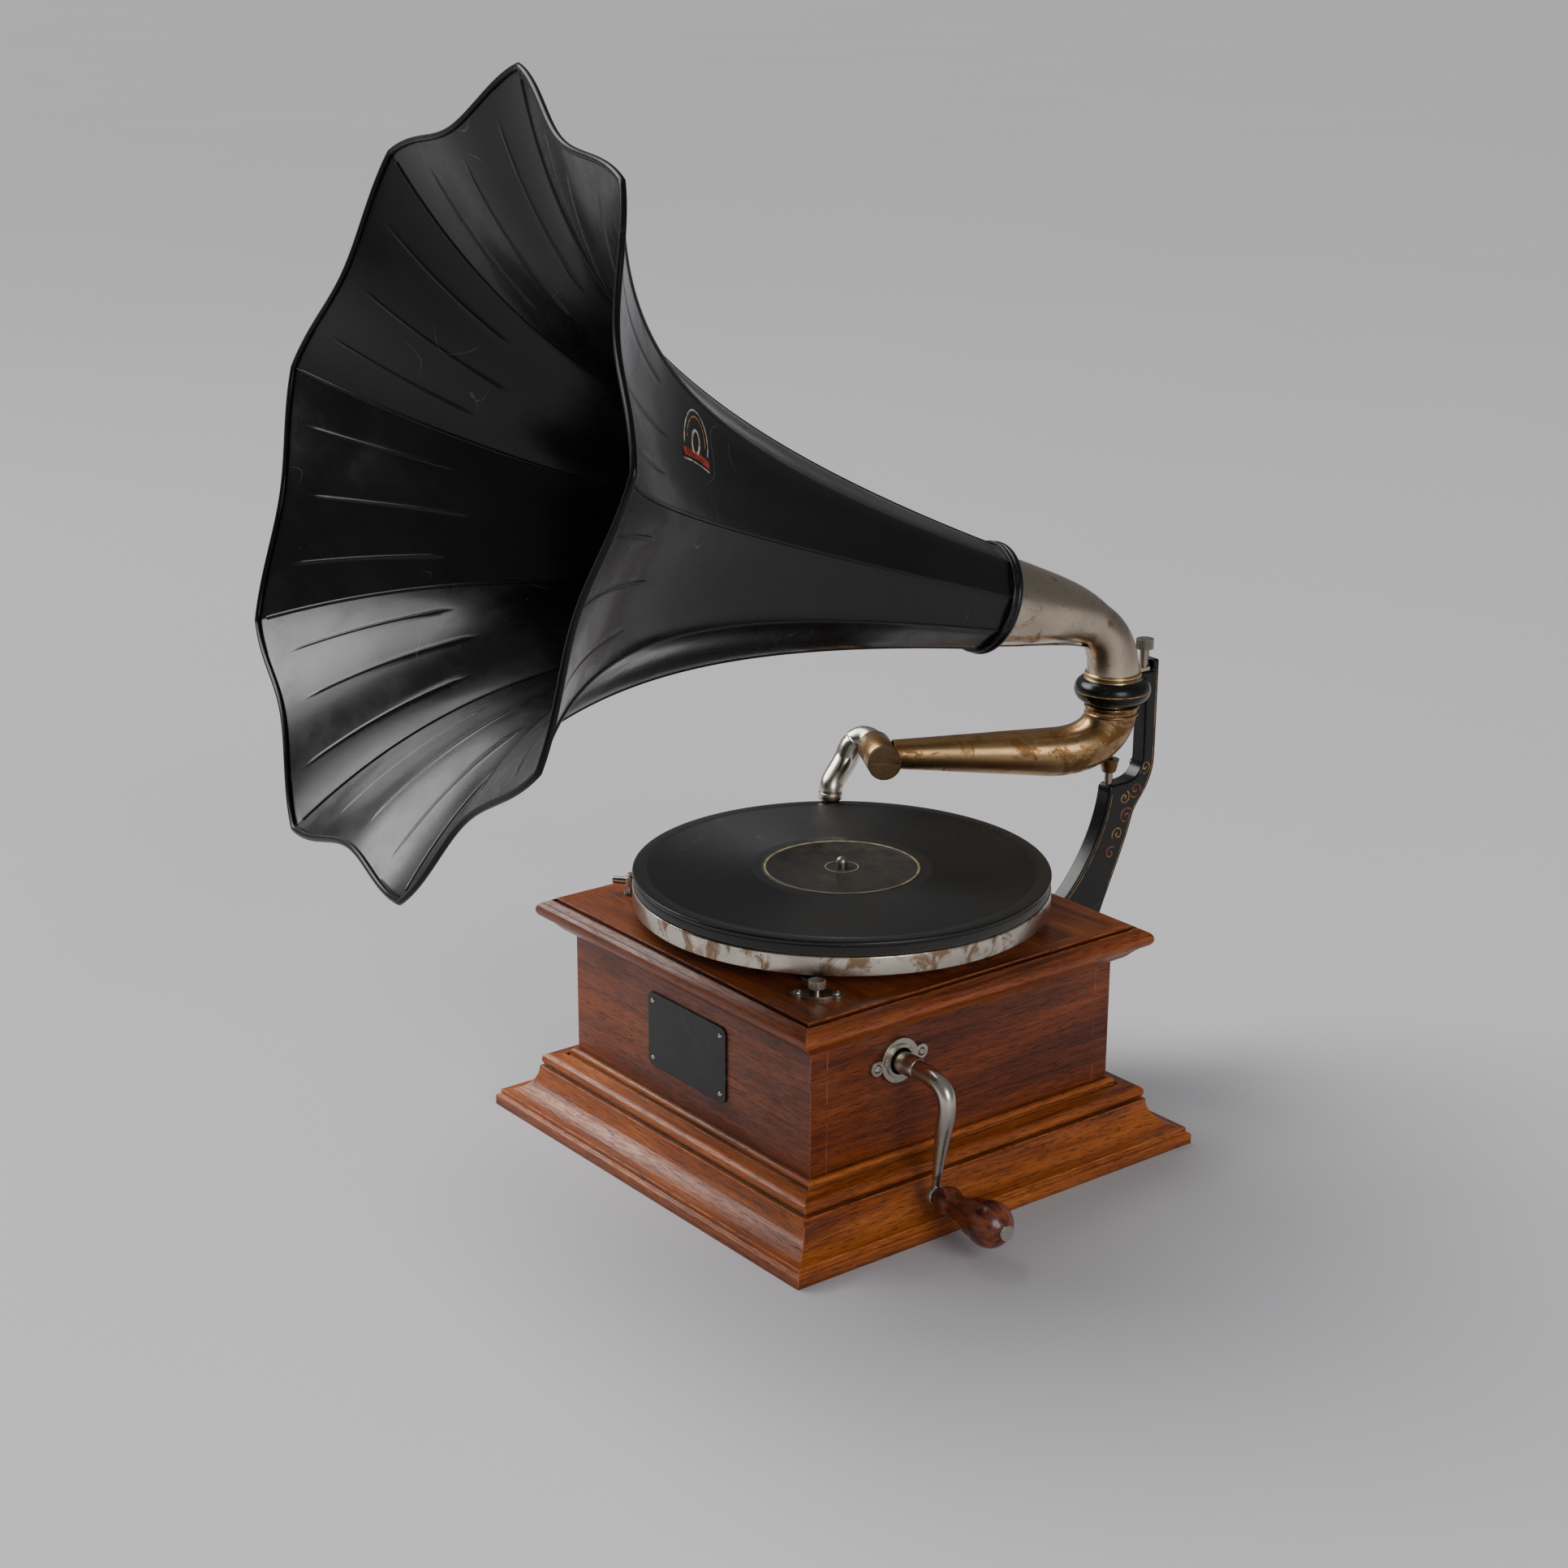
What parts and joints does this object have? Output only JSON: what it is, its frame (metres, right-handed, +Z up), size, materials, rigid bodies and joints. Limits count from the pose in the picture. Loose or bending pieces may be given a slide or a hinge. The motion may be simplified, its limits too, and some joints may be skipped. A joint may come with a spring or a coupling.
{
  "type": "wind up phonograph",
  "caption": "Spring-driven table phonograph with a swinging hollow arm, a side crank and a flared outside horn on a rear bracket.",
  "frame": {"origin": "middle of the cabinet's underside, on the surface it stands on", "axes": "+Z up, -Y the front with the blank plate, +X the side with the crank, the horn points towards -Y"},
  "size_m": [0.5039, 0.5745, 0.6451],
  "materials": {
    "oak": "worn satin varnish on quarter-cut oak",
    "bare_wood": "unfinished softwood",
    "black_enamel": "semi-gloss black enamel, scratched and worn at the edges",
    "plate_black": "semi-gloss black, blank",
    "nickel": "aged nickel plate, brownish in places",
    "worn_nickel": "aged nickel plate worn to the brass",
    "knuckle_brass": "tarnished brass",
    "steel": "turned steel",
    "spring_steel": "blued spring steel",
    "brass": "machined brass",
    "motor_iron": "japanned cast iron",
    "brake_leather": "oiled leather",
    "felt": "dark felt",
    "shellac": "shellac compound with fine grooves",
    "label_paper": "faded dark paper, blank",
    "handle_wood": "dark red-brown glossy turned wood"
  },
  "bodies": {
    "root": {"base_moulding": "oak", "bottom_board": "bare_wood", "case_front": "oak", "case_back": "oak", "case_left": "oak", "case_right": "oak", "corner_blocks": "bare_wood", "top_panel": "oak", "top_moulding": "oak", "nameplate": "plate_black", "nameplate_pins": "nickel", "crank_escutcheon": "nickel", "small_screws": "nickel", "speed_plate": "nickel", "pivot_studs": "steel", "brake_post": "nickel", "motor_plate": "motor_iron", "motor_base": "motor_iron", "motor_pillars": "steel", "motor_bolts": "steel", "spindle_bushings": "brass", "governor_bearings": "motor_iron", "horn_bracket": "black_enamel", "bracket_bolts": "steel", "arm_pivot_screw": "steel", "horn_elbow": "worn_nickel", "horn_panels": "black_enamel", "horn_rim_wire": "black_enamel", "horn_collar": "black_enamel"},
    "turntable": {"spindle": "steel", "platter": "nickel", "turntable_felt": "felt", "record": "shellac", "record_label": "label_paper"},
    "intermediate": {"intermediate_shaft": "brass"},
    "barrel": {"spring_barrel": "steel", "mainspring": "spring_steel"},
    "governor": {"governor_shaft": "steel", "governor_springs": "spring_steel", "governor_weights": "brass", "governor_disc": "steel"},
    "winding_crank": {"crank": "nickel", "winding_shaft": "steel", "handle_rivet": "nickel"},
    "crank_grip": {"crank_handle": "handle_wood"},
    "arbor": {"winding_arbor": "steel"},
    "click": {"ratchet_click": "steel"},
    "speed_knob": {"speed_screw": "nickel"},
    "regulator": {"regulator_lever": "steel", "regulator_pad": "brake_leather"},
    "brake": {"brake_lever": "nickel", "brake_pad": "brake_leather"},
    "clamp_screw": {"thumbscrew": "steel"},
    "arm": {"tone_arm": "worn_nickel", "knuckle_cap": "knuckle_brass"},
    "arm_end": {"gooseneck": "worn_nickel"}
  },
  "joints": [
    {"name": "turntable_spin", "type": "hinge", "parent": "root", "child": "turntable", "pos_m": [0, 0, 0.16], "axis": [0, 0, 1], "continuous": true},
    {"name": "intermediate_turn", "type": "hinge", "parent": "root", "child": "intermediate", "pos_m": [0, -0.02135, 0.0967], "axis": [1, 0, 0], "continuous": true},
    {"name": "barrel_turn", "type": "hinge", "parent": "root", "child": "barrel", "pos_m": [0, -0.0524, 0.0597], "axis": [1, 0, 0], "continuous": true},
    {"name": "governor_spin", "type": "hinge", "parent": "root", "child": "governor", "pos_m": [-0.023, 0, 0.036], "axis": [0, 1, 0], "continuous": true},
    {"name": "crank_turn", "type": "hinge", "parent": "root", "child": "winding_crank", "pos_m": [0.13, -0.0524, 0.098], "axis": [1, 0, 0], "continuous": true},
    {"name": "arbor_turn", "type": "hinge", "parent": "root", "child": "arbor", "pos_m": [0, -0.0524, 0.0597], "axis": [1, 0, 0], "continuous": true},
    {"name": "handle_spin", "type": "hinge", "parent": "winding_crank", "child": "crank_grip", "pos_m": [0.18, -0.0524, 0.0265], "axis": [1, 0, 0], "continuous": true},
    {"name": "click_lift", "type": "hinge", "parent": "root", "child": "click", "pos_m": [0.0775, -0.0704, 0.0765], "axis": [1, 0, 0], "range_deg": [0, 15]},
    {"name": "speed_turn", "type": "hinge", "parent": "root", "child": "speed_knob", "pos_m": [0.0955, -0.0955, 0.148], "axis": [0, 0, 1], "range_deg": [-90, 90]},
    {"name": "regulator_swing", "type": "hinge", "parent": "root", "child": "regulator", "pos_m": [0.092, 0.03, 0.113], "axis": [0, 0, 1], "range_deg": [-0.5, 0.5]},
    {"name": "brake_swing", "type": "hinge", "parent": "root", "child": "brake", "pos_m": [-0.1034, -0.0834, 0.15], "axis": [0, 0, 1], "range_deg": [0, 25]},
    {"name": "thumbscrew_turn", "type": "hinge", "parent": "root", "child": "clamp_screw", "pos_m": [0, 0.2525, 0.262], "axis": [0, 0, 1], "continuous": true},
    {"name": "arm_swing", "type": "hinge", "parent": "root", "child": "arm", "pos_m": [0, 0.2245, 0.2], "axis": [0, 0, 1], "range_deg": [-10, 27]},
    {"name": "gooseneck_tilt", "type": "hinge", "parent": "arm", "child": "arm_end", "pos_m": [-0.07514, 0.09168, 0.2054], "axis": [-0.8704, 0.4924, 0], "range_deg": [0, 120]}
  ],
  "couplings": [
    {"joint": "intermediate_turn", "follows": "turntable_spin", "ratio": -0.33333},
    {"joint": "barrel_turn", "follows": "turntable_spin", "ratio": 0.047619},
    {"joint": "governor_spin", "follows": "turntable_spin", "ratio": 10},
    {"joint": "arbor_turn", "follows": "crank_turn", "ratio": -0.46154},
    {"joint": "regulator_swing", "follows": "speed_turn", "ratio": -0.00554}
  ]
}
